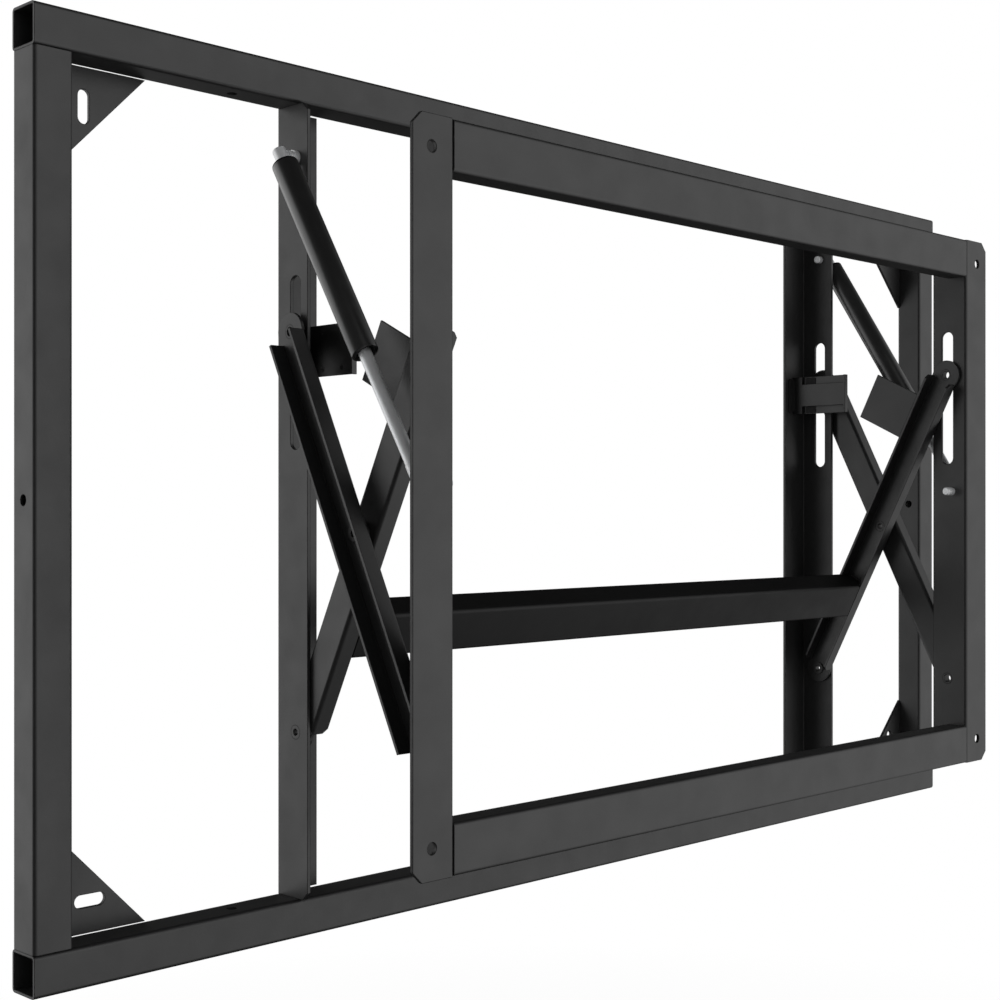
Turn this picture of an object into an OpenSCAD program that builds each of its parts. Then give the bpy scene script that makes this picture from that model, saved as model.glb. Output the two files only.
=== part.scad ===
// Pop-out video wall mount: a square tube wall frame, two scissor arm pairs
// held out by gas springs, and a front frame that carries the display.
// X runs along the wall, Z is up, Y = 0 is the wall and the display faces -Y.
// The model is drawn popped out, with the gas springs at full length.

/* [Wall frame] */
// Overall width of the wall frame
frame_w = 1190; // [900:1:1400]
// Overall height of the wall frame
frame_h = 684; // [600:1:800]
// Outside size of the square tube
tube_s = 30; // [25:1:40]
// Wall thickness of the square tube
tube_t = 2; // [1.5:0.1:3]
// Outside corner radius of the square tube
tube_r = 3; // [2.5:0.1:5]
// Leg length of the corner gusset plates
gusset_leg = 76; // [60:1:100]
// Distance from the frame's centre to the stacking holes
stack_x = 420; // [400:1:500]
// Diameter of the joining and stacking holes
join_d = 8; // [6:0.1:10]

/* [Wall fixing slots] */
// Width of the slot in each gusset
fix_slot_w = 9.5; // [6:0.1:10]
// Overall length of the slot in each gusset
fix_slot_l = 25; // [20:1:32]
// Slot centre line to the tube beside it
fix_slot_side = 24; // [20:1:28]
// Slot centre to the tube that its end points at
fix_slot_end = 29; // [24:1:32]

/* [Uprights and posts] */
// Outside face of the webs, measured from the frame's centre
web_x = 366; // [330:1:380]
// Sheet thickness of the angles
angle_t = 3; // [2:0.1:4]
// Depth of the wall upright's web
upright_web = 39; // [36:1:45]
// Width of the wall upright's back flange
upright_flange = 38; // [30:1:45]
// Depth of the front post's web
post_web = 38; // [35:0.5:45]
// Width of the front post's flange
post_flange = 39.5; // [36:0.5:50]
// Height of the front frame
post_h = 538; // [500:1:560]
// Height of the front frame's middle above the wall frame's middle
front_rise = 2; // [0:0.5:10]
// Chamfer on the outer corners of the front posts
post_chamfer = 8.5; // [5:0.5:12]
// Height of the front rails
rail_h = 38; // [30:1:60]
// Depth of the front rails
rail_d = 21; // [15:1:30]
// Sheet thickness of rails, arms and crossbar
sheet_t = 2.5; // [2:0.1:3]

/* [Display fixing] */
// Hole spacing along the wall
display_pitch_x = 769; // [740:1:780]
// Hole spacing up the posts
display_pitch_z = 492; // [460:1:500]
// Diameter of the display bolt holes
display_hole_d = 9; // [6:0.1:10]

/* [Scissor arms] */
// Distance from the wall to the display face, popped out
pop_out = 202; // [180:1:215]
// Distance from an arm's pivot to its sliding end
arm_c = 351; // [340:1:360]
// Height of the lower pivots, below the frame's middle
pivot_drop = 181.5; // [175:0.5:190]
// Wall to the line that the wall side pins slide on
wall_line = 24; // [22:0.5:25]
// Display face to the line that the front pins slide on
front_line = 22; // [20:0.5:24]
// Width of an arm
arm_w = 29; // [26:0.5:32]
// Depth of an arm's flanges
arm_d = 15; // [12:0.5:16]
// Gap between the inner arm and the webs
inner_gap = 0.5; // [0.4:0.1:0.8]
// Gap between the outer arm and the webs
outer_gap = 3; // [2.5:0.1:4]
// Width of the slots that the pins slide in
slot_w = 13; // [13:0.1:15]
// Lowest point of the slots, above the frame's middle
slot_low = 40.5; // [30:0.5:60]
// Highest point of the slots, above the frame's middle
slot_high = 177.5; // [176:0.5:190]

/* [Crossbar and catches] */
// Start of the crossbar along the inner arms
crossbar_s = 73; // [60:1:90]
// Gap between the crossbar's face and the arms' flanges
crossbar_gap = 1; // [0.5:0.5:9]
// Width of the crossbar's face
crossbar_w = 38; // [30:1:45]
// Depth of the crossbar
crossbar_d = 27; // [22:1:29]
// Start of the striker plate along the inner arm
striker_s = 273; // [260:1:280]
// Length of the striker plate
striker_l = 49; // [40:1:60]
// Reach of the striker plate from the arm's middle
striker_reach = 67; // [55:1:67]
// Thickness of the striker and catch sheet
plate_t = 2; // [1.5:0.1:2.5]
// Middle height of the catch
catch_z = 118.8; // [110:0.1:125]
// Height of the catch
catch_h = 40.5; // [30:0.5:50]
// Front end of the catch, measured from the wall
catch_y = 70; // [60:1:75]

/* [Gas springs] */
// Diameter of the gas spring's cylinder
cylinder_d = 21; // [20:0.5:22]
// Diameter of the gas spring's rod
rod_d = 10; // [8:0.1:10]
// Middle of the gas spring, measured from the webs' outside face
spring_out = 14; // [13:0.5:16]
// Height of the upper stud above the frame's middle
stud_top_z = 269.3; // [260:0.1:275]
// Height of the lower stud above the frame's middle
stud_low_z = 12.3; // [0:0.1:25]
// Display face to the lower stud
stud_low_line = 17; // [15:0.5:20]
// Upper stud to the cylinder's closed end
cylinder_start = 8.5; // [8:0.1:12]
// Upper stud to the cylinder's open end
cylinder_end = 190; // [180:1:200]

/* [Hidden] */
$fn = 48;

// Running clearance of a pin in its hole, on the radius
run_c = 0.05;
// Gap kept between faces that move past each other
face_c = 0.3;
// Overlap of cutting solids past the face they cut
cut = 1;

// Half sizes of the wall frame
half_w = frame_w / 2;
half_h = frame_h / 2;
// Inner edge of the tubes
in_x = half_w - tube_s;
in_z = half_h - tube_s;
// Inner face of the upright and post webs
web_in = web_x - angle_t;
// Outside corner radius of bent sheet
bend_r = 3;
// Inside corner radius of bent sheet
bend_in = 0.6;
// Cut on the front corners of the upright's web, where it meets the tubes
upright_cut = 6;
// Gap between an end of the upright's flange and the tube
flange_gap = 1.2;
// Gap between a gusset and the top or bottom tube
gusset_gap = 0.7;
// Front faces, slide lines and height limits
front_y = -pop_out;
wall_y = -wall_line;
slide_y = front_y + front_line;
pivot_z = -pivot_drop;
front_top = front_rise + post_h / 2;
front_low = front_rise - post_h / 2;
// Lean of the arms from the vertical, popped out
lean = asin((wall_y - slide_y) / arm_c);
eye_z = pivot_z + arm_c * cos(lean);
centre_y = (wall_y + slide_y) / 2;
centre_z = (pivot_z + eye_z) / 2;
// Arm sections
inner_x = web_in - inner_gap;
outer_x = web_x + outer_gap;
eye_r = arm_w / 2 + 0.5;
flange_cut = 6;
flange_chamfer = 4;
// Pins: shank through an arm, shank in a slot, bore and heads
pin_d = 11;
slider_d = slot_w - 0.2;
pin_bore = 7.5;
pivot_bore = 5.5;
head_d = 17;
head_t = 1.5;
// Small rolled rim on the pivots that sit inside a channel
rim_d = 13;
rim_t = 0.8;
collar_d = 16;
// Gas spring studs, end sockets and lengths
spring_x = web_x + spring_out;
stud_d = 8;
stud_tip = 0.8;
stud_top_out = 6;
stud_low_out = 12;
stud_flange_d = 12.4;
stud_flange_t = 4;
stud_collar = 10.6;
journal_d = 6;
journal_past = 2.5;
socket_d = 11;
socket_back = 5;
socket_floor = 0.5;
stud_low_y = front_y + stud_low_line;
spring_l = norm([stud_low_y - wall_y, stud_low_z - stud_top_z]);
spring_lean = atan2(wall_y - stud_low_y, stud_top_z - stud_low_z);
cylinder_wall = 1.5;
cylinder_cap = 4;
// Sideways room in the gland for the spring's small change of line
gland_room = 3;
gland_l = 8;
rod_inside = 26;
rod_socket_l = 16;
// Striker details
striker_x = inner_x - arm_d;
striker_foot = 12;
// Catch details
catch_gap = 0.5;
catch_x = striker_x - catch_gap;
catch_in = catch_x - 5;
catch_column = 12;
catch_bar = 24;
catch_foot = 9;
catch_foot_h = 35;

// Colours
coat = [0.16, 0.16, 0.17];
coat_dark = [0.12, 0.12, 0.13];
steel = [0.72, 0.72, 0.72];
gloss = [0.05, 0.05, 0.055];
gland_colour = [0.09, 0.09, 0.09];

// Places a right-hand part, mirrored for the left side
module on_side(side) {
    if (side > 0) children();
    else mirror([1, 0, 0]) children();
}

// Square with rounded corners, centred
module round_square(size, r) {
    square([size, size - 2 * r], center = true);
    square([size - 2 * r, size], center = true);
    for (x = [-1, 1], y = [-1, 1])
        translate([x * (size / 2 - r), y * (size / 2 - r)]) circle(r);
}

// Square tube along Z, centred on its own axis
module square_tube(length) {
    linear_extrude(length, center = true) difference() {
        round_square(tube_s, tube_r);
        round_square(tube_s - 2 * tube_t, tube_r - tube_t);
    }
}

// Cylinder along X from x1 to x2
module x_rod(x1, x2, d) {
    translate([x1, 0, 0]) rotate([0, 90, 0]) cylinder(h = x2 - x1, d = d);
}

// Slot cut along X through a web, from z1 to z2
module x_slot(x1, x2, y, z1, z2, w) {
    translate([0, y, z1 + w / 2]) x_rod(x1, x2, w);
    translate([0, y, z2 - w / 2]) x_rod(x1, x2, w);
    translate([x1, y - w / 2, z1 + w / 2]) cube([x2 - x1, w, z2 - z1 - w]);
}

// Outside corner of bent sheet: a square with its far corner rounded
module bend_corner(r) {
    intersection() {
        translate([r, r]) circle(r);
        square(r);
    }
}

// Flat angle section: leg a along x, leg b along y, corner at the origin
module angle_section(a, b, t) {
    translate([bend_r, 0]) square([a - bend_r, t]);
    translate([0, bend_r]) square([t, b - bend_r]);
    bend_corner(bend_r);
    difference() {
        translate([t, t]) square(bend_in);
        translate([t + bend_in, t + bend_in]) circle(bend_in);
    }
}

// Flat channel section: back along y, centred, legs towards +x
module channel_section(w, d, t) {
    for (m = [0, 1])
        mirror([0, m]) translate([0, -w / 2]) angle_section(d, w / 2, t);
}

// Wall frame

module top_tube() {
    color(coat) difference() {
        translate([0, -tube_s / 2, half_h - tube_s / 2])
            rotate([0, 90, 0]) square_tube(frame_w);
        stack_holes();
    }
}

module bottom_tube() {
    color(coat) difference() {
        translate([0, -tube_s / 2, -half_h + tube_s / 2])
            rotate([0, 90, 0]) square_tube(frame_w);
        stack_holes();
    }
}

// Vertical holes for bolting frames on top of each other
module stack_holes() {
    for (x = [-1, 1], z = [-1, 1])
        translate([x * stack_x, -tube_s / 2, z * (half_h - tube_s / 2)])
            cylinder(h = tube_s + 2 * cut, d = join_d, center = true);
}

module side_tube(side) {
    color(coat) difference() {
        translate([side * (half_w - tube_s / 2), -tube_s / 2, 0]) square_tube(2 * in_z);
        translate([side * (half_w - tube_s / 2), -tube_s / 2, 0])
            rotate([0, 90, 0]) cylinder(h = tube_s + 2 * cut, d = join_d, center = true);
    }
}

// Corner plate with its slot along X or Z, flush with the back of the tubes and joined to
// the side tube
module gusset(side, level, along_x) {
    slot_x = in_x - (along_x ? fix_slot_end : fix_slot_side);
    slot_z = in_z - (along_x ? fix_slot_side : fix_slot_end);
    top_z = in_z - gusset_gap;
    color(coat) mirror([side > 0 ? 0 : 1, 0, 0]) mirror([0, 0, level > 0 ? 0 : 1])
        difference() {
            rotate([90, 0, 0]) linear_extrude(angle_t)
                polygon([[in_x, top_z], [in_x - gusset_leg + gusset_gap, top_z],
                    [in_x, in_z - gusset_leg]]);
            translate([slot_x, 0, slot_z]) rotate([0, along_x ? 90 : 0, 0]) gusset_slot();
        }
}

// Slot along Z, cut through the plate along Y
module gusset_slot() {
    run = fix_slot_l - fix_slot_w;
    for (z = [-1, 1])
        translate([0, cut, z * run / 2]) rotate([90, 0, 0])
            cylinder(h = angle_t + 2 * cut, d = fix_slot_w);
    translate([-fix_slot_w / 2, -angle_t - cut, -run / 2])
        cube([fix_slot_w, angle_t + 2 * cut, run]);
}

// L-shaped upright between the tubes, flange flat on the wall
module upright(side) {
    color(coat) on_side(side) difference() {
        translate([web_x, 0, -in_z]) rotate([0, 0, 180]) linear_extrude(2 * in_z)
            angle_section(upright_flange, upright_web, angle_t);
        x_slot(web_in - cut, web_x + cut, wall_y, slot_low, slot_high, slot_w);
        translate([0, wall_y, pivot_z]) x_rod(web_in - cut, web_x + cut, pin_d);
        translate([0, wall_y, stud_top_z]) x_rod(web_in - cut, web_x + cut, stud_d);
        for (z = [-1, 1])
            translate([web_x - angle_t / 2, -upright_web, z * in_z]) rotate([45, 0, 0])
                cube([angle_t + 2 * cut, upright_cut * sqrt(2), upright_cut * sqrt(2)],
                    center = true);
        for (z = [-1, 1])
            translate([web_in - upright_flange / 2, -angle_t / 2, z * in_z])
                cube([upright_flange, angle_t + 2 * cut, 2 * flange_gap], center = true);
    }
}

// Folded catch plate on the upright's flange
module catch(side) {
    z0 = catch_z - catch_h / 2;
    color(coat_dark) on_side(side) {
        translate([catch_x - plate_t, -catch_y, z0])
            cube([plate_t, catch_y - angle_t - catch_column, catch_h]);
        translate([catch_in, -catch_y, z0])
            cube([catch_x - catch_in, plate_t, catch_h]);
        translate([catch_in, -catch_y, catch_z - catch_bar / 2])
            cube([plate_t, catch_y - angle_t, catch_bar]);
        translate([catch_in, -angle_t - catch_column, z0])
            cube([plate_t, catch_column, catch_h]);
        translate([catch_in - catch_foot, -angle_t - plate_t, catch_z - catch_foot_h / 2])
            cube([catch_foot + plate_t, plate_t, catch_foot_h]);
    }
}

// Pins

// Stud for a gas spring: bevelled free end inside, flange, collar and journal
module spring_stud(side, y, z, reach) {
    tip = web_in - reach;
    color(steel) on_side(side) translate([0, y, z]) {
        translate([tip, 0, 0]) rotate([0, 90, 0])
            cylinder(h = stud_tip, d1 = stud_d - 2 * stud_tip, d2 = stud_d);
        x_rod(tip + stud_tip, web_x, stud_d);
        x_rod(web_x, web_x + stud_flange_t, stud_flange_d);
        x_rod(web_x, spring_x - socket_d / 2 - face_c, stud_collar);
        x_rod(web_x, spring_x + journal_past, journal_d);
    }
}

// Hollow pin that holds the inner arm to the upright
module wall_pivot(side) {
    arm_face = inner_x - sheet_t;
    color(coat_dark) on_side(side) translate([0, wall_y, pivot_z]) difference() {
        union() {
            x_rod(arm_face - face_c - rim_t, web_x, pin_d);
            x_rod(arm_face - face_c - rim_t, arm_face - face_c, rim_d);
        }
        x_rod(arm_face - face_c - rim_t - cut, web_x + cut, pivot_bore);
    }
}

// Hollow pin that holds the outer arm to the post
module front_pivot(side) {
    arm_face = outer_x + sheet_t;
    color(coat_dark) on_side(side) translate([0, slide_y, pivot_z]) difference() {
        union() {
            x_rod(web_in, arm_face + face_c + head_t, pin_d);
            x_rod(web_x, outer_x - face_c, collar_d);
            x_rod(arm_face + face_c, arm_face + face_c + head_t, head_d);
        }
        x_rod(web_in - cut, arm_face + head_t + cut, pin_bore);
    }
}

// Hollow pin through both arms of a scissor pair
module centre_pivot(side) {
    arm_face = outer_x + sheet_t;
    color(coat_dark) on_side(side) translate([0, centre_y, centre_z]) difference() {
        union() {
            x_rod(inner_x - sheet_t, arm_face + face_c + rim_t, pin_d);
            x_rod(inner_x, outer_x - face_c, collar_d);
            x_rod(arm_face + face_c, arm_face + face_c + rim_t, rim_d);
        }
        x_rod(inner_x - sheet_t - cut, arm_face + face_c + rim_t + cut, pivot_bore);
    }
}

// Hollow pin on the inner arm that slides in the post
module front_slider(side) {
    color(coat_dark) on_side(side) translate([0, slide_y, eye_z]) difference() {
        union() {
            x_rod(inner_x - sheet_t, inner_x, pin_d);
            x_rod(inner_x, web_x + face_c, slider_d);
            x_rod(web_x + face_c, web_x + face_c + head_t, head_d);
        }
        x_rod(inner_x - sheet_t - cut, web_x + head_t + cut, pin_bore);
    }
}

// Hollow pin on the outer arm that slides in the upright
module wall_slider(side) {
    color(coat_dark) on_side(side) translate([0, wall_y, eye_z]) difference() {
        union() {
            x_rod(outer_x, outer_x + sheet_t, pin_d);
            x_rod(web_in - face_c, outer_x, slider_d);
            x_rod(web_in - face_c - head_t, web_in - face_c, head_d);
            x_rod(web_x + face_c, outer_x, collar_d);
        }
        x_rod(web_in - head_t - cut, outer_x + sheet_t + cut, pin_bore);
    }
}

// Scissor arms

// One end of an arm's web: flat tab with a round eye
module arm_eye(z_flange) {
    x_rod(0, sheet_t, 2 * eye_r);
    translate([0, -arm_w / 2, min(0, z_flange)]) cube([sheet_t, arm_w, abs(z_flange)]);
}

// Arm along Z with its web from x = 0 and its flanges towards +x
module arm_body(chamfer) {
    z1 = flange_cut;
    z2 = arm_c - flange_cut;
    difference() {
        translate([0, 0, z1]) linear_extrude(z2 - z1) channel_section(arm_w, arm_d, sheet_t);
        if (chamfer > 0) for (z = [z1, z2]) translate([arm_d, 0, z]) rotate([0, 45, 0])
            cube([chamfer * sqrt(2), arm_w + 2 * cut, chamfer * sqrt(2)], center = true);
    }
    arm_eye(z1);
    translate([0, 0, arm_c]) arm_eye(-z1);
}

// Inner arm: pivots on the upright, slides in the post
module inner_arm(side) {
    color(coat_dark) on_side(side) translate([inner_x, wall_y, pivot_z]) rotate([lean, 0, 0])
        difference() {
            mirror([1, 0, 0]) arm_body(flange_chamfer);
            x_rod(-sheet_t - cut, cut, pin_d + 2 * run_c);
            translate([0, 0, arm_c / 2]) x_rod(-sheet_t - cut, cut, pin_d);
            translate([0, 0, arm_c]) x_rod(-sheet_t - cut, cut, pin_d);
        }
}

// Outer arm: pivots on the post, slides in the upright
module outer_arm(side) {
    color(coat_dark) on_side(side) translate([outer_x, slide_y, pivot_z]) rotate([-lean, 0, 0])
        difference() {
            arm_body(0);
            x_rod(-cut, sheet_t + cut, pin_d + 2 * run_c);
            translate([0, 0, arm_c / 2]) x_rod(-cut, sheet_t + cut, pin_d + 2 * run_c);
            translate([0, 0, arm_c]) x_rod(-cut, sheet_t + cut, pin_d);
        }
}

// Channel that ties the two inner arms together
module crossbar() {
    face_x = inner_x - arm_d - crossbar_gap;
    tongue_x = inner_x - sheet_t;
    tongue_n = arm_w / 2 - sheet_t;
    color(coat_dark) translate([0, wall_y, pivot_z]) rotate([lean, 0, 0])
        translate([0, 0, crossbar_s]) {
            translate([-face_x, -arm_w / 2, crossbar_w / 2]) rotate([90, 0, 90])
                linear_extrude(2 * face_x) channel_section(crossbar_w, crossbar_d, sheet_t);
            for (z = [0, crossbar_w - sheet_t])
                translate([-tongue_x, -tongue_n, z])
                    cube([2 * tongue_x, crossbar_d - 2 * sheet_t, sheet_t]);
        }
}

// Plate on the inner arm that comes to rest beside the catch
module striker(side) {
    color(coat_dark) on_side(side) translate([0, wall_y, pivot_z]) rotate([lean, 0, 0])
        translate([striker_x, arm_w / 2, striker_s]) {
            cube([plate_t, striker_reach - arm_w / 2, striker_l]);
            cube([striker_foot, plate_t, striker_l]);
        }
}

// Front frame

// L-shaped post with its flange facing the display
module post(side) {
    flange_x = web_in + post_flange;
    color(coat) on_side(side) difference() {
        translate([web_in, front_y, front_low]) linear_extrude(post_h)
            angle_section(post_flange, post_web, angle_t);
        x_slot(web_in - cut, web_x + cut, slide_y, slot_low, slot_high, slot_w);
        translate([0, slide_y, pivot_z]) x_rod(web_in - cut, web_x + cut, pin_d);
        translate([0, stud_low_y, stud_low_z]) x_rod(web_in - cut, web_x + cut, stud_d);
        for (z = [-1, 1])
            translate([display_pitch_x / 2, front_y - cut, front_rise + z * display_pitch_z / 2])
                rotate([-90, 0, 0]) cylinder(h = angle_t + 2 * cut, d = display_hole_d);
        for (z = [front_low, front_top])
            translate([flange_x, front_y + angle_t / 2, z]) rotate([0, 45, 0])
                cube([post_chamfer * sqrt(2), angle_t + 2 * cut, post_chamfer * sqrt(2)],
                    center = true);
    }
}

// Channel between the posts, open to the back
module rail(z) {
    color(coat) translate([-web_in, front_y, z]) rotate([90, 0, 90])
        linear_extrude(2 * web_in) channel_section(rail_h, rail_d, sheet_t);
}

module top_rail() {
    rail(front_top - rail_h / 2);
}

module bottom_rail() {
    rail(front_low + rail_h / 2);
}

// Gas springs

// Puts a part on the spring's line: origin on the upper stud, +z towards the lower stud
module on_spring(side) {
    on_side(side) translate([spring_x, wall_y, stud_top_z]) rotate([180 - spring_lean, 0, 0])
        children();
}

module spring_cylinder(side) {
    color(gloss) on_spring(side) difference() {
        translate([0, 0, cylinder_start])
            cylinder(h = cylinder_end - cylinder_start, d = cylinder_d);
        translate([0, 0, cylinder_start + cylinder_cap])
            cylinder(h = cylinder_end, d = cylinder_d - 2 * cylinder_wall);
    }
}

// Guide ring in the open end of the cylinder
module gland(side) {
    color(gland_colour) on_spring(side) translate([0, 0, cylinder_end - gland_l - cut])
        difference() {
            cylinder(h = gland_l, d = cylinder_d - 2 * cylinder_wall);
            translate([0, 0, -cut]) cylinder(h = gland_l + 2 * cut, d = rod_d + 2 * gland_room);
        }
}

// Round socket along the spring, with a blind cross bore that takes the stud's journal
module spring_socket(length) {
    difference() {
        translate([0, 0, -socket_back]) cylinder(h = socket_back + length, d = socket_d);
        x_rod(-socket_d / 2 - cut, journal_past + socket_floor, journal_d + 2 * run_c);
    }
}

module cylinder_eye(side) {
    color(steel) on_spring(side) spring_socket(cylinder_start);
}

module spring_rod(side) {
    start = cylinder_end - rod_inside;
    color(steel) on_spring(side) translate([0, 0, start])
        cylinder(h = spring_l - rod_socket_l - start, d = rod_d);
}

module rod_eye(side) {
    color(steel) on_spring(side) translate([0, 0, spring_l]) rotate([180, 0, 0])
        spring_socket(rod_socket_l);
}

top_tube();
bottom_tube();
side_tube(-1);  // left_tube
side_tube(1);  // right_tube
gusset(-1, 1, false);  // gusset_top_left
gusset(1, 1, true);  // gusset_top_right
gusset(-1, -1, true);  // gusset_bottom_left
gusset(1, -1, false);  // gusset_bottom_right
upright(-1);  // left_upright
upright(1);  // right_upright
catch(-1);  // left_catch
catch(1);  // right_catch
spring_stud(-1, wall_y, stud_top_z, stud_top_out);  // left_wall_stud
spring_stud(1, wall_y, stud_top_z, stud_top_out);  // right_wall_stud
wall_pivot(-1);  // left_wall_pivot
wall_pivot(1);  // right_wall_pivot
inner_arm(-1);  // left_inner_arm
inner_arm(1);  // right_inner_arm
crossbar();
striker(-1);  // left_striker
striker(1);  // right_striker
centre_pivot(-1);  // left_centre_pivot
centre_pivot(1);  // right_centre_pivot
front_slider(-1);  // left_front_slider
front_slider(1);  // right_front_slider
outer_arm(-1);  // left_outer_arm
outer_arm(1);  // right_outer_arm
wall_slider(-1);  // left_wall_slider
wall_slider(1);  // right_wall_slider
post(-1);  // left_post
post(1);  // right_post
top_rail();
bottom_rail();
front_pivot(-1);  // left_front_pivot
front_pivot(1);  // right_front_pivot
spring_stud(-1, stud_low_y, stud_low_z, stud_low_out);  // left_front_stud
spring_stud(1, stud_low_y, stud_low_z, stud_low_out);  // right_front_stud
spring_cylinder(-1);  // left_cylinder
spring_cylinder(1);  // right_cylinder
gland(-1);  // left_gland
gland(1);  // right_gland
cylinder_eye(-1);  // left_cylinder_eye
cylinder_eye(1);  // right_cylinder_eye
spring_rod(-1);  // left_rod
spring_rod(1);  // right_rod
rod_eye(-1);  // left_rod_eye
rod_eye(1);  // right_rod_eye
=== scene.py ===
import math

import bmesh
import bpy
from mathutils import Matrix, Vector


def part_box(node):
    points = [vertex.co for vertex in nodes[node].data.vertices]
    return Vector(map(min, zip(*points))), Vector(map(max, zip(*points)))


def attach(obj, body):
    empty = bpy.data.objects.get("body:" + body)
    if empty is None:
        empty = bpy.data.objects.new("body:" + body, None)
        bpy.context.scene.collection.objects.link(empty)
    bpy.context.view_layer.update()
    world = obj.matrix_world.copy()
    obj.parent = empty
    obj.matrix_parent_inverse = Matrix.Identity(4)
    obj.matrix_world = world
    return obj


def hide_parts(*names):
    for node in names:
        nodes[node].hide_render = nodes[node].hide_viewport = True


# Looks of the pop-out video wall mount, in metres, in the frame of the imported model.
# X runs along the wall, Z is up, Y = 0 is the wall and the display side is -Y.

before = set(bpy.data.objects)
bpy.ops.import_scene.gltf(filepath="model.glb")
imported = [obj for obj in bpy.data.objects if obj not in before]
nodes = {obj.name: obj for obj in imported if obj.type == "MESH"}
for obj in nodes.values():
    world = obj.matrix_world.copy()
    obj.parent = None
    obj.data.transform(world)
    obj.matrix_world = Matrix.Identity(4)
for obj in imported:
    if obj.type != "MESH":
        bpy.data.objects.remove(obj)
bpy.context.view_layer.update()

MM = 0.001
SIDES = {"left": -1, "right": 1}


def add_object(name, data):
    """Puts a new object into the scene, made from a mesh, a lamp or a camera."""
    thing = bpy.data.objects.new(name, data)
    bpy.context.scene.collection.objects.link(thing)
    return thing


# Camera: the photograph's viewpoint, level, looking along the wall from the left

CAMERA_PLACE = (-1.1524, -1.0334, -0.0064)
CAMERA_HEADING = math.radians(44.863)
PHOTO_SIZE = 1000
FOCAL_PIXELS = 1615.4
HORIZON_PIXEL = 509.4
SENSOR = 36.0
CLIP_NEAR = 0.05
CLIP_FAR = 100


def add_camera():
    data = bpy.data.cameras.new("camera")
    data.sensor_width = SENSOR
    data.lens = FOCAL_PIXELS / PHOTO_SIZE * SENSOR
    data.shift_y = (HORIZON_PIXEL - PHOTO_SIZE / 2) / PHOTO_SIZE
    data.clip_start = CLIP_NEAR
    data.clip_end = CLIP_FAR
    camera = add_object("camera", data)
    camera.location = CAMERA_PLACE
    camera.rotation_euler = (math.pi / 2, 0, CAMERA_HEADING - math.pi / 2)
    bpy.context.scene.camera = camera


# Node graphs

MIX_A, MIX_B, MIX_RESULT = 6, 7, 2  # a Mix node's sockets for colours
BEVEL_SAMPLES = 6
UNIT = (0.0, 1.0)
NOISE_BODY = (0.3, 0.7)  # holds nearly all values of a noise


class Graph:
    """The node tree of a material or world, with short calls for the nodes used here."""

    def __init__(self, owner):
        owner.use_nodes = True
        self.owner = owner
        self.tree = owner.node_tree
        self.tree.nodes.clear()

    def add(self, kind, **settings):
        node = self.tree.nodes.new(kind)
        for key, value in settings.items():
            setattr(node, key, value)
        return node

    def put(self, value, socket):
        """Links an output to the socket, or sets the socket's own value."""
        if isinstance(value, bpy.types.NodeSocket):
            self.tree.links.new(value, socket)
        else:
            socket.default_value = value

    def place(self):
        return self.add("ShaderNodeTexCoord").outputs["Object"]

    def vector(self, operation, a, b=None, output="Vector"):
        node = self.add("ShaderNodeVectorMath", operation=operation)
        self.put(a, node.inputs[0])
        if b is not None:
            self.put(b, node.inputs[1])
        return node.outputs[output]

    def dot(self, a, b):
        return self.vector("DOT_PRODUCT", a, b, "Value")

    def math(self, operation, a, b):
        node = self.add("ShaderNodeMath", operation=operation)
        self.put(a, node.inputs[0])
        self.put(b, node.inputs[1])
        return node.outputs[0]

    def noise(self, vector, size, detail, roughness=0.55):
        """Noise from 0 to 1 whose features are about size metres across."""
        node = self.add("ShaderNodeTexNoise")
        self.put(vector, node.inputs["Vector"])
        node.inputs["Scale"].default_value = 1 / size
        node.inputs["Detail"].default_value = detail
        node.inputs["Roughness"].default_value = roughness
        return node.outputs["Fac"]

    def span(self, value, source, target):
        """Maps the source range onto the target range, and clamps."""
        node = self.add("ShaderNodeMapRange")
        self.put(value, node.inputs["Value"])
        node.inputs["From Min"].default_value, node.inputs["From Max"].default_value = source
        node.inputs["To Min"].default_value, node.inputs["To Max"].default_value = target
        return node.outputs["Result"]

    def mix(self, factor, a, b):
        node = self.add("ShaderNodeMix", data_type="RGBA")
        self.put(factor, node.inputs["Factor"])
        self.put(a, node.inputs[MIX_A])
        self.put(b, node.inputs[MIX_B])
        return node.outputs[MIX_RESULT]

    def layer(self, tone, value, source, share, over):
        """Lays the colour over on tone: none where value is at the range's start, and up to
        share at its end."""
        return self.mix(self.span(value, source, (0.0, share)), tone, over)

    def bump(self, height, distance, strength, normal=None):
        node = self.add("ShaderNodeBump")
        self.put(height, node.inputs["Height"])
        node.inputs["Distance"].default_value = distance
        node.inputs["Strength"].default_value = strength
        if normal is not None:
            self.put(normal, node.inputs["Normal"])
        return node.outputs["Normal"]

    def rounded(self, radius):
        node = self.add("ShaderNodeBevel", samples=BEVEL_SAMPLES)
        node.inputs["Radius"].default_value = radius
        return node.outputs["Normal"]

    def edges(self, radius, slopes):
        """0 on flat faces and 1 on an edge's rounding. slopes are the cosines where it starts
        and is full."""
        true_normal = self.add("ShaderNodeNewGeometry").outputs["True Normal"]
        return self.span(self.dot(self.rounded(radius), true_normal), slopes, UNIT)

    def finish(self, colour, roughness, normal, **constants):
        shader = self.add("ShaderNodeBsdfPrincipled")
        self.put(colour, shader.inputs["Base Color"])
        self.put(roughness, shader.inputs["Roughness"])
        if normal is not None:
            self.put(normal, shader.inputs["Normal"])
        for key, value in constants.items():
            shader.inputs[key.replace("_", " ")].default_value = value
        output = self.add("ShaderNodeOutputMaterial")
        self.tree.links.new(shader.outputs[0], output.inputs["Surface"])
        return shader


def new_material(name):
    return Graph(bpy.data.materials.new(name))


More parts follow.
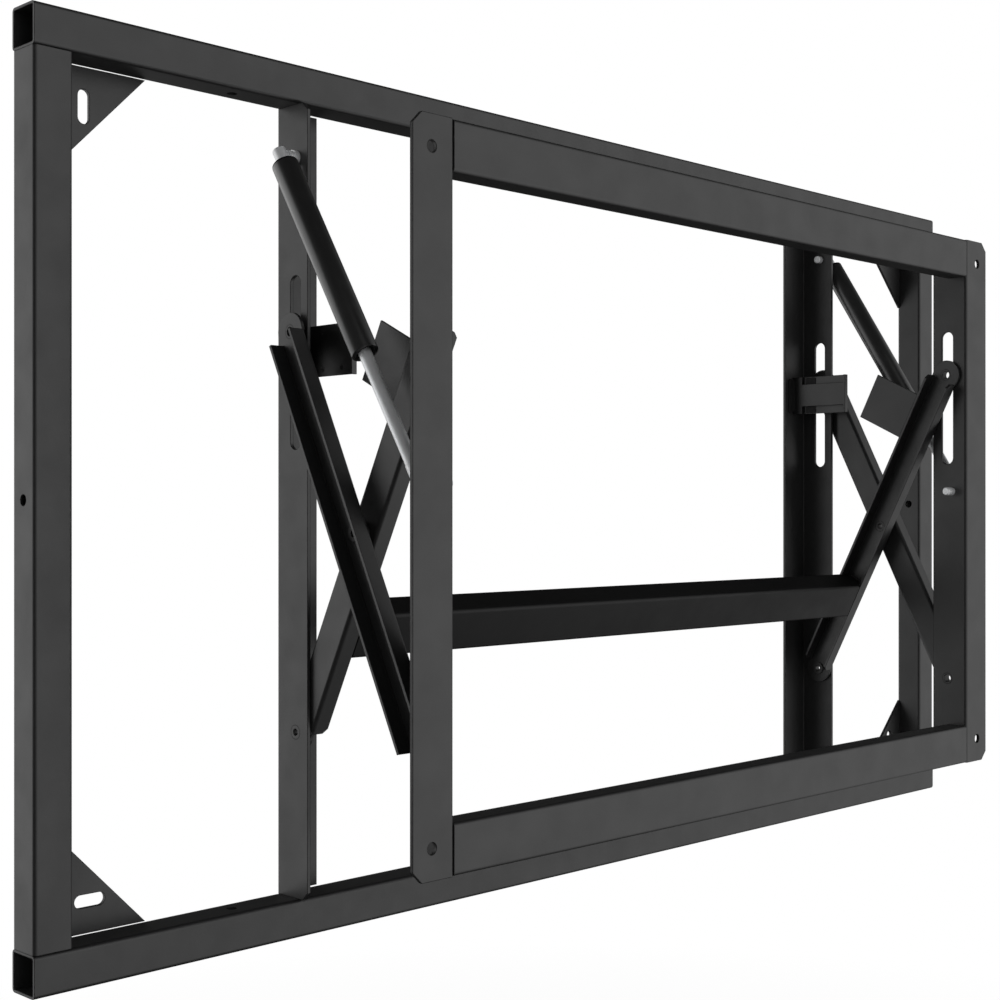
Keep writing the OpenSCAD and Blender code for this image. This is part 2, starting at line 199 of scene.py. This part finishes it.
def grey(level, tint=0.0):
    """A grey by its linear level, a little bluer with tint."""
    return (level * (1 - tint), level, level * (1 + tint), 1.0)


# Finishes: a noise is given by the size of its features and its detail

# Painted shade on the coat's edges: the radius of its mask, and the range its noise gives
EDGE_SHADE_R = 1.1 * MM
EDGE_SHADE_RANGE = (0.8, 1.0)
COAT_ROUND_R = 0.8 * MM
ZINC_ROUND_R = 0.6 * MM
PEEL_DEPTH = 0.06 * MM
RING_DEPTH = 0.02 * MM
RIPPLE_DEPTH = 0.05 * MM
FIBRE_DEPTH = 0.04 * MM
# How a noise is stretched: a small number makes it long in that direction
ACROSS_PIN = (14.0, 1.0, 1.0)
ROUND_ROD = (0.2, 1.0, 1.0)
ALONG_TUBE = (1.0, 0.35, 0.35)


def powder_coat(name, level, gloss, shine=0.9, slopes=(0.97, 0.75), rim=0.2):
    """Satin powder coat: fine orange peel, faint clouding, dust specks, and edges darkened and
    dulled as painted shade.
    level is the paint's grey, gloss its middle roughness and shine its specular level. slopes
    say where an edge starts and is full, and rim is the share of the shine that it keeps; rim also
    sets how dark the painted edge shade is."""
    g = new_material(name)
    place = g.place()
    cloud = g.noise(place, 90 * MM, 2.0)
    grain = g.noise(place, 1.1 * MM, 2.0)
    speck = g.noise(place, 3.2 * MM, 1.0, 0.3)
    edge_shade_noise = g.noise(place, 20 * MM, 2.0)
    handling = g.noise(place, 30 * MM, 3.0)
    peel = g.noise(place, 1.7 * MM, 1.0)
    # Painted shade: the edge mask, varied by a noise, darkens the coat and dulls its shine
    edge = g.math("MULTIPLY", g.edges(EDGE_SHADE_R, slopes), g.span(edge_shade_noise, (0.35, 0.65), EDGE_SHADE_RANGE))
    deep, pale = grey(level * 0.95, 0.012), grey(level * 1.05, 0.006)
    tone = g.layer(deep, cloud, NOISE_BODY, 1.0, pale)
    tone = g.layer(tone, grain, (0.35, 0.7), 0.35, grey(level * 0.82, 0.01))
    tone = g.layer(tone, speck, (0.74, 0.8), 0.35, grey(level * 1.9))
    tone = g.mix(edge, tone, grey(level * 2 * rim))
    roughness = g.span(handling, NOISE_BODY, (gloss - 0.035, gloss + 0.045))
    shader = g.finish(tone, roughness, g.bump(peel, PEEL_DEPTH, 0.5, g.rounded(COAT_ROUND_R)))
    g.put(g.span(edge, UNIT, (shine, shine * rim)), shader.inputs["Specular IOR Level"])
    return g.owner


def zinc_plate(name):
    """Bright zinc plating: cloudy grey metal with fine turning marks and soft edges."""
    g = new_material(name)
    place = g.place()
    spangle = g.noise(place, 4 * MM, 3.0)
    ring = g.noise(g.vector("MULTIPLY", place, ACROSS_PIN), 6 * MM, 2.0)
    tone = g.layer(grey(0.78, 0.015), spangle, NOISE_BODY, 1.0, grey(0.88, 0.01))
    roughness = g.span(ring, NOISE_BODY, (0.42, 0.55))
    normal = g.bump(ring, RING_DEPTH, 0.4, g.rounded(ZINC_ROUND_R))
    g.finish(tone, roughness, normal, Metallic=0.6)
    return g.owner


def chrome_rod(name):
    """Hard chromed piston rod: satin, with fine hair lines round it and a faint oil film."""
    g = new_material(name)
    place = g.place()
    film = g.noise(place, 25 * MM, 2.0)
    lines = g.noise(g.vector("MULTIPLY", place, ROUND_ROD), 2 * MM, 2.0)
    tone = g.layer(grey(0.86, 0.01), film, (0.35, 0.7), 1.0, grey(0.92, 0.015))
    g.finish(tone, g.span(lines, NOISE_BODY, (0.44, 0.5)), None, Metallic=0.68)
    return g.owner


def gloss_paint(name, top, along, shade_rim_start, shade_rim_end):
    """Black baked enamel of the gas spring's tube, with a slow ripple, faint rub marks and a dark,
    dull rim at its closed end, painted shade. top and along give the spring's line, in y and z
    only, so that both springs can share it. The shaded rim fades out between its start and end
    on that line."""
    g = new_material(name)
    place = g.place()
    start = top.y * along.y + top.z * along.z
    far = g.math("SUBTRACT", g.dot(place, (0.0, along.y, along.z)), start)
    # Painted shade at the closed end: near black, with no shine or clear coat
    rim = g.span(far, (shade_rim_start, shade_rim_end), (1.0, 0.0))
    ripple = g.noise(place, 14 * MM, 1.0)
    rub = g.noise(g.vector("MULTIPLY", place, ALONG_TUBE), 6 * MM, 3.0)
    tone = g.layer(grey(0.013), rub, (0.55, 0.8), 0.3, grey(0.03))
    tone = g.mix(rim, tone, grey(0.002))
    roughness = g.span(rub, (0.35, 0.75), (0.3, 0.4))
    shader = g.finish(tone, roughness, g.bump(ripple, RIPPLE_DEPTH, 0.3), Coat_Roughness=0.3)
    g.put(g.span(rim, UNIT, (0.8, 0.05)), shader.inputs["Specular IOR Level"])
    g.put(g.span(rim, UNIT, (0.6, 0.0)), shader.inputs["Coat Weight"])
    return g.owner


def dull_black(name, shine):
    """Dull black of rubber, and of the strips of painted shade in the catch pockets, with shine as
    its specular level.
    """
    g = new_material(name)
    grain = g.noise(g.place(), 0.9 * MM, 2.0)
    tone = g.layer(grey(0.012), grain, NOISE_BODY, 1.0, grey(0.022))
    roughness = g.span(grain, NOISE_BODY, (0.6, 0.75))
    g.finish(tone, roughness, g.bump(grain, FIBRE_DEPTH, 0.5), Specular_IOR_Level=shine)
    return g.owner


# Mesh helpers

SHARP_ANGLE = math.radians(35)
LATHE_SEGMENTS = 72


def object_from(name, mesh_maker, material, body):
    """Makes an object from a function that fills a bmesh, and sets its finish and its body."""
    mesh = bpy.data.meshes.new(name)
    shape = bmesh.new()
    mesh_maker(shape)
    bmesh.ops.recalc_face_normals(shape, faces=shape.faces)
    shape.to_mesh(mesh)
    shape.free()
    for face in mesh.polygons:
        face.use_smooth = True
    mesh.set_sharp_from_angle(angle=SHARP_ANGLE)
    mesh.materials.append(material)
    piece = add_object(name, mesh)
    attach(piece, body)
    return piece


def bridge(shape, rings, closed):
    """Joins neighbouring rings of vertices with quads. A closed form joins the last ring to the
    first as well, and an open one gets an end face on both."""
    for a, b in zip(rings, rings[1:] + rings[:1] if closed else rings[1:]):
        for i in range(len(a)):
            j = (i + 1) % len(a)
            shape.faces.new((a[i], a[j], b[j], b[i]))
    if not closed:
        shape.faces.new(rings[0])
        shape.faces.new(rings[-1])


def lathe(profile, place, segments=LATHE_SEGMENTS):
    """Fills a bmesh with a closed outline of (radius, height) turned about place's z axis."""

    def fill(shape):
        rings = []
        for radius, height in profile:
            ring = []
            for i in range(segments):
                turn = 2 * math.pi * i / segments
                point = Vector((radius * math.cos(turn), radius * math.sin(turn), height))
                ring.append(shape.verts.new(place @ point))
            rings.append(ring)
        bridge(shape, rings, closed=True)

    return fill


def centre_of(node):
    low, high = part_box(node)
    return (low + high) / 2


def spring_place(side):
    """Origin on the upper stud, z along the spring, x along the wall."""
    top = centre_of(f"{side}_wall_stud")
    low = centre_of(f"{side}_front_stud")
    top.x = low.x = centre_of(f"{side}_cylinder_eye").x
    along = (low - top).normalized()
    across = Vector((1, 0, 0))
    turn = Matrix((across, along.cross(across), along)).transposed()
    return Matrix.Translation(top) @ turn.to_4x4()


# Which finish each slot gets

TUBE_START = 8.5 * MM
TUBE_END = 190.0 * MM
# Band of painted shade at the tube's closed end, as distances along the spring from the upper stud
SHADE_RIM_START = TUBE_START + 1.5 * MM
SHADE_RIM_END = TUBE_START + 2.1 * MM

COAT = powder_coat("powder_coat", 0.010, 0.46, slopes=(0.985, 0.88), rim=0.0)
# Copy of the coat a little darker, as painted shade, for the arms, the arm welds and the catch
# rivet heads
ARM_SHADED_COAT = powder_coat("powder_coat_arms_shaded", 0.009, 0.44)
# Much darker, less shiny copy of the coat: painted shade on the crossbar
CROSSBAR_SHADED_COAT = powder_coat("powder_coat_crossbar_shaded", 0.004, 0.5, 0.36)
# Darker copy of the coat: painted shade on the catches
CATCH_SHADED_COAT = powder_coat("powder_coat_catches_shaded", 0.003, 0.44, 0.98)
SPRING = spring_place("right")
ENAMEL = gloss_paint(
    "black_enamel", SPRING.translation, SPRING.col[2].to_3d(), SHADE_RIM_START, SHADE_RIM_END
)
SEAL = dull_black("seal_rubber", 0.4)
# Dull black for the strips that paint shade into the catch pockets
POCKET_SHADE_SHEET = dull_black("pocket_shade_black", 0.05)

FINISH = {
    "coat": COAT,
    "coat_dark": ARM_SHADED_COAT,
    "zinc": zinc_plate("zinc_plate"),
    "rod": chrome_rod("chrome_rod"),
    "cylinder": ENAMEL,
    "gland": SEAL,
}


def dress_nodes():
    """Each node comes with one material, named after its slot in the record."""
    for thing in nodes.values():
        thing.data.materials[0] = FINISH[thing.data.materials[0].name]
    # The crossbar and the catches get the darker copies of the coat, as painted shade
    nodes["crossbar"].data.materials[0] = CROSSBAR_SHADED_COAT
    for side in SIDES:
        nodes[f"{side}_catch"].data.materials[0] = CATCH_SHADED_COAT


dress_nodes()

# Gas springs: rolled tube ends and a gland with an oval eye

TUBE_BORE = 9.0 * MM
CAP = 4.0 * MM
CAP_HOLE = 3.5 * MM
GLAND_SEGMENTS = 64
GLAND_L = 8.0 * MM
GLAND_R = TUBE_BORE - 0.05 * MM
GLAND_SUNK = 0.3 * MM
GLAND_CHAMFER = 0.3 * MM
EYE_HALF = 5.25 * MM
EYE_PLAY = 2.75 * MM
EYE_CHAMFER = 0.5 * MM


def tube_profile():
    """Outline of the spring's tube, as radius and height: rolled shoulders at both ends."""
    a, b = TUBE_START, TUBE_END
    rolled = [(9.2, a, 0), (9.9, a, 0.2), (10.3, a, 0.6), (10.5, a, 1.3)]
    rolled += [(10.5, b, -0.7), (10.3, b, -0.25), (9.9, b, -0.05), (9.2, b, 0.0), (9.0, b, -0.4)]
    points = [(CAP_HOLE, TUBE_START)]
    points += [(radius * MM, base + step * MM) for radius, base, step in rolled]
    return points + [(TUBE_BORE, TUBE_START + CAP), (CAP_HOLE, TUBE_START + CAP)]


def oval_gland(place):
    """Fills a bmesh with the gland: round outside, and an oval eye that gives the rod its play."""
    out = TUBE_END - GLAND_SUNK
    back = out - GLAND_L
    outline = (
        (GLAND_R, 0.0, back),
        (GLAND_R, 0.0, out - GLAND_CHAMFER),
        (GLAND_R - GLAND_CHAMFER, 0.0, out),
        (EYE_HALF + EYE_CHAMFER, EYE_PLAY, out),
        (EYE_HALF, EYE_PLAY, out - EYE_CHAMFER),
        (EYE_HALF, EYE_PLAY, back),
    )

    def fill(shape):
        rings = []
        for half, play, height in outline:
            ring = []
            for i in range(GLAND_SEGMENTS):
                turn = 2 * math.pi * (i + 0.5) / GLAND_SEGMENTS
                off = play if math.sin(turn) > 0 else -play
                point = Vector((half * math.cos(turn), half * math.sin(turn) + off, height))
                ring.append(shape.verts.new(place @ point))
            rings.append(ring)
        bridge(shape, rings, closed=True)

    return fill


def add_spring(side):
    place = spring_place(side)
    body = f"{side}_spring_cylinder"
    turned = lathe(tube_profile(), place)
    tube = object_from(f"{side}_tube_visual", turned, ENAMEL, body)
    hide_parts(f"{side}_cylinder")
    gland = object_from(f"{side}_gland_visual", oval_gland(place), SEAL, body)
    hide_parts(f"{side}_gland")


# Catches: blind rivets on the outside, and a dark strip in the pocket as painted shade

RIVET_HEAD = (
    (0.7, -0.6), (2.2, -0.6), (2.2, 0.1), (1.9, 0.3), (1.4, 0.3), (1.0, 0.05), (0.7, -0.1)
)
RIVET_STEM = ((0.05, -0.5), (0.75, -0.5), (0.75, 0.1), (0.55, 0.25), (0.05, 0.3))
RIVET_SEGMENTS = 24
RIVET_BACK = (13.0 * MM, 36.0 * MM)
RIVET_UP = 14.5 * MM
CATCH_SHEET = 2.0 * MM
STRIP_W = 13.0 * MM
STRIP_H = 39.0 * MM
STRIP_T = 0.5 * MM
STRIP_CORNER = 1.0 * MM
STRIP_INSET = 15.0 * MM
STRIP_LAYERS = ((0.0, 1.0), (0.7, 1.0), (1.0, 0.985))  # share of the thickness, scale


def catch_face(side):
    """The catch's box, the x of its outer face and the z of its middle."""
    low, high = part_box(f"{side}_catch")
    face = high.x if SIDES[side] > 0 else low.x
    return low, high, face, (low.z + high.z) / 2


def catch_rivets(side, profile):
    """Four turned rivet parts, from a closed outline of radius and height in mm."""
    low, _, face, middle = catch_face(side)
    outline = [(radius * MM, height * MM) for radius, height in profile]
    turn = Matrix.Rotation(SIDES[side] * math.pi / 2, 4, "Y")

    def fill(shape):
        for along in RIVET_BACK:
            for up in (-RIVET_UP, RIVET_UP):
                place = Matrix.Translation((face, low.y + along, middle + up)) @ turn
                lathe(outline, place, RIVET_SEGMENTS)(shape)

    return fill


def pocket_shade_strip(side):
    """Thin dark strip with cut corners on the inner face of the catch's outer plate: painted shade
    in the pocket.
    """
    _, high, face, middle = catch_face(side)
    sign = SIDES[side]
    face -= sign * CATCH_SHEET
    w, t, c = STRIP_W / 2, STRIP_H / 2, STRIP_CORNER
    y_middle = high.y - STRIP_INSET - w
    outline = (
        (w - c, -t), (w, c - t), (w, t - c), (w - c, t),
        (c - w, t), (-w, t - c), (-w, c - t), (c - w, -t),
    )

    def fill(shape):
        rings = []
        for share, scale in STRIP_LAYERS:
            x = face - sign * STRIP_T * share
            ring = [(x, y_middle + y * scale, middle + z * scale) for y, z in outline]
            rings.append([shape.verts.new(point) for point in ring])
        bridge(shape, rings, closed=False)

    return fill


# Welds: small rippled beads in the inside corners, laid on the sides away from the display

BEAD_STEP = 0.9 * MM
BEAD_MIN_STEPS = 6
BEAD_POINTS = 6
BEAD_RIPPLES = ((0.12, 2.1), (0.05, 5.3))  # height, and turn in radians for each step
BEAD_END = 0.4
BEAD_SWELL = 5
BEAD_SINK = 0.3
BEAD_HOLLOW = 0.22

TUBE_BEAD = 1.6 * MM
TUBE_BEAD_Y = (-26.0 * MM, -5.0 * MM)
WEB_SHEET = 3.0 * MM
CATCH_BEAD = 1.3 * MM
CATCH_BEAD_X = (1.5 * MM, 9.5 * MM)
CATCH_BEAD_Y = -3.0 * MM
CATCH_BEAD_UP = 17.5 * MM
RAIL_BEAD = 2.0 * MM
RAIL_SHEET = 2.5 * MM
RAIL_INSET = 6.0 * MM
TONGUE_BEAD = 1.8 * MM
TONGUE_X = 360.0 * MM
TONGUE_EDGES = ((73.0 * MM, -1), (111.0 * MM, 1))  # place along the arm, way the bead faces
TONGUE_REACH = (-9.0 * MM, 8.0 * MM)


def bead(shape, start, end, face_a, face_b, size):
    """Adds a fillet weld from start to end in the corner between two faces, each given by the
    direction that leads away from the corner in it."""
    start, end, face_a, face_b = (Vector(v) for v in (start, end, face_a, face_b))
    steps = max(BEAD_MIN_STEPS, int((end - start).length / BEAD_STEP))
    rings = []
    for i in range(steps + 1):
        t = i / steps
        wave = 1 + sum(height * math.sin(turn * i) for height, turn in BEAD_RIPPLES)
        reach = size * wave * min(1.0, BEAD_END + BEAD_SWELL * min(t, 1 - t))
        middle = start.lerp(end, t)
        ring = [middle - (face_a + face_b) * BEAD_SINK * size]
        for k in range(BEAD_POINTS):
            turn = math.pi / 2 * k / (BEAD_POINTS - 1)
            bulge = 1 - BEAD_HOLLOW * math.sin(2 * turn)
            side = face_a * math.cos(turn) + face_b * math.sin(turn)
            ring.append(middle + side * reach * bulge)
        rings.append([shape.verts.new(point) for point in ring])
    bridge(shape, rings, closed=False)


def wall_welds(shape):
    """Tube corners, upright ends and catch feet."""
    tube_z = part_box("top_tube")[0].z
    side_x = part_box("right_tube")[0].x
    web_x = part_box("right_upright")[1].x
    for x in (-1, 1):
        web_face = web_x if x > 0 else WEB_SHEET - web_x
        for z in (-1, 1):
            for place, away in ((x * side_x, -x), (web_face, 1)):
                ends = [(place, y, z * tube_z) for y in TUBE_BEAD_Y]
                bead(shape, *ends, (away, 0, 0), (0, 0, -z), TUBE_BEAD)
    for side, x in SIDES.items():
        low, high, _, middle = catch_face(side)
        foot = min(abs(low.x), abs(high.x))
        for z in (-1, 1):
            edge = middle + z * CATCH_BEAD_UP
            ends = [(x * (foot + step), CATCH_BEAD_Y, edge) for step in CATCH_BEAD_X]
            bead(shape, *ends, (0, -1, 0), (0, 0, z), CATCH_BEAD)


def front_welds(shape):
    """Rail ends, on the back of the rails."""
    post_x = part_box("right_post")[0].x
    for name in ("top_rail", "bottom_rail"):
        low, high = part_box(name)
        heights = (low.z + RAIL_INSET, high.z - RAIL_INSET)
        for x in (-1, 1):
            ends = [(x * post_x, low.y + RAIL_SHEET, z) for z in heights]
            bead(shape, *ends, (-x, 0, 0), (0, 1, 0), RAIL_BEAD)


def arm_welds(shape):
    """Crossbar tongues, inside the inner arms."""
    pivot = centre_of("right_wall_pivot")
    along = centre_of("right_front_slider") - pivot
    along.x = 0
    along.normalize()
    third = along.cross(Vector((1, 0, 0)))
    for x in (-1, 1):
        for distance, away in TONGUE_EDGES:
            base = Vector((x * TONGUE_X, pivot.y, pivot.z)) + along * distance
            ends = [base + third * reach for reach in TONGUE_REACH]
            bead(shape, *ends, (-x, 0, 0), along * away, TONGUE_BEAD)


def add_details():
    for side in SIDES:
        add_spring(side)
        heads, stems = catch_rivets(side, RIVET_HEAD), catch_rivets(side, RIVET_STEM)
        object_from(f"{side}_catch_rivets", heads, ARM_SHADED_COAT, "wall_frame")
        object_from(f"{side}_rivet_stems", stems, COAT, "wall_frame")
        # Dark strip in the pocket: painted shade
        object_from(f"{side}_catch_shade_sheet", pocket_shade_strip(side), POCKET_SHADE_SHEET, "wall_frame")
    object_from("wall_welds", wall_welds, COAT, "wall_frame")
    object_from("front_welds", front_welds, COAT, "front_frame")
    object_from("arm_welds", arm_welds, ARM_SHADED_COAT, "inner_arms")


add_details()

# Studio: pale floor, soft lamps and a world that the camera sees as white

# White walls in what gloss mirrors: a direction, and the cosines where each starts and is full
FRONT_WALL = ((0.469, -0.883, 0.0), (0.22, 1.0))
BACK_WALL = ((-0.375, 0.927, 0.0), (0.64, 0.88))
WALL_DIM = 0.04
# Spans: from where to where, and the levels there
CEILING_SPAN = ((0.42, 0.68), (1.0, 0.03))
FLOOR_Z = -0.9
FLOOR_HALF = 14.0
FLOOR_TONE = 0.8
FLOOR_WHITE_SPAN = ((1.0, 2.0), (0.85, 1.0))
FLOOR_GLOSS_SHADE_SPAN = ((0.6, 1.5), (0.05, 1.0))
WORLD_LEVEL = 0.6
LAMP_TARGET = (0, -0.1, 0)
# Name, place, size in metres and power in watts
LAMPS = (
    ("left", (-2.9, 2.4, 0.4), (2.4, 2.0), 22),
    ("front", (2.7, -3.0, 0.6), (3.0, 2.4), 30),
)


def white_walls(g, direction):
    """Level of the studio in a direction: white in front on the right and behind on the left."""
    levels = []
    for wall, cosines in (FRONT_WALL, BACK_WALL):
        levels.append(g.span(g.dot(direction, wall), cosines, (WALL_DIM, 1.0)))
    return g.math("MAXIMUM", *levels)


def studio_floor():
    """Pale floor that fades to white away from the object, and keeps its shadow near it. To gloss
    it glows like the studio walls, a painted reflection, and dims near the object as painted
    shade.
    """
    g = new_material("floor")
    seen = g.add("ShaderNodeLightPath").outputs
    place = g.place()
    away = g.vector("LENGTH", place, output="Value")
    straight = g.math("MAXIMUM", seen["Is Camera Ray"], seen["Is Transmission Ray"])
    straight = g.math("MULTIPLY", straight, g.span(away, *FLOOR_WHITE_SPAN))
    walls = white_walls(g, g.vector("NORMALIZE", place))
    # What gloss sees of the floor: glow like the walls as painted reflection, dimmed near the
    # object as painted shade
    level = g.math("MULTIPLY", walls, g.span(away, *FLOOR_GLOSS_SHADE_SPAN))
    diffuse = g.add("ShaderNodeBsdfDiffuse")
    diffuse.inputs["Color"].default_value = grey(FLOOR_TONE)
    white = g.add("ShaderNodeEmission")
    g.put(g.mix(seen["Is Glossy Ray"], grey(1.0), level), white.inputs["Color"])
    white.inputs["Strength"].default_value = 1.0
    both = g.add("ShaderNodeMixShader")
    share, first, second = both.inputs
    g.put(g.math("MAXIMUM", straight, seen["Is Glossy Ray"]), share)
    g.put(diffuse.outputs[0], first)
    g.put(white.outputs[0], second)
    g.put(both.outputs[0], g.add("ShaderNodeOutputMaterial").inputs["Surface"])
    h = FLOOR_HALF
    corners = [(-h, -h, FLOOR_Z), (h, -h, FLOOR_Z), (h, h, FLOOR_Z), (-h, h, FLOOR_Z)]
    mesh = bpy.data.meshes.new("floor")
    mesh.from_pydata(corners, [], [(0, 1, 2, 3)])
    mesh.materials.append(g.owner)
    floor = add_object("floor", mesh)


def studio_world():
    """White to the camera, white and dim walls to gloss, and one plain level to all else."""
    g = Graph(bpy.data.worlds.new("studio"))
    seen = g.add("ShaderNodeLightPath").outputs
    direction = g.add("ShaderNodeTexCoord").outputs["Generated"]
    upright = g.add("ShaderNodeSeparateXYZ")
    g.put(direction, upright.inputs[0])
    ceiling = g.span(upright.outputs["Z"], *CEILING_SPAN)
    mirrored = g.math("MULTIPLY", white_walls(g, direction), ceiling)
    white = g.math("MAXIMUM", seen["Is Camera Ray"], seen["Is Transmission Ray"])
    strength = g.mix(seen["Is Glossy Ray"], grey(WORLD_LEVEL), mirrored)
    background = g.add("ShaderNodeBackground")
    g.put(g.mix(white, strength, grey(1.0)), background.inputs["Color"])
    g.put(background.outputs[0], g.add("ShaderNodeOutputWorld").inputs["Surface"])
    bpy.context.scene.world = g.owner


def soft_lamp(name, place, size, power):
    data = bpy.data.lights.new(name, "AREA")
    data.shape = "RECTANGLE"
    data.size, data.size_y = size
    data.energy = power
    lamp = add_object(name, data)
    lamp.location = place
    direction = Vector(LAMP_TARGET) - Vector(place)
    lamp.rotation_euler = direction.to_track_quat("-Z", "Y").to_euler()
    lamp.visible_glossy = False


studio_floor()
studio_world()
for lamp in LAMPS:
    soft_lamp(*lamp)
add_camera()
bpy.context.scene.view_settings.view_transform = "Standard"
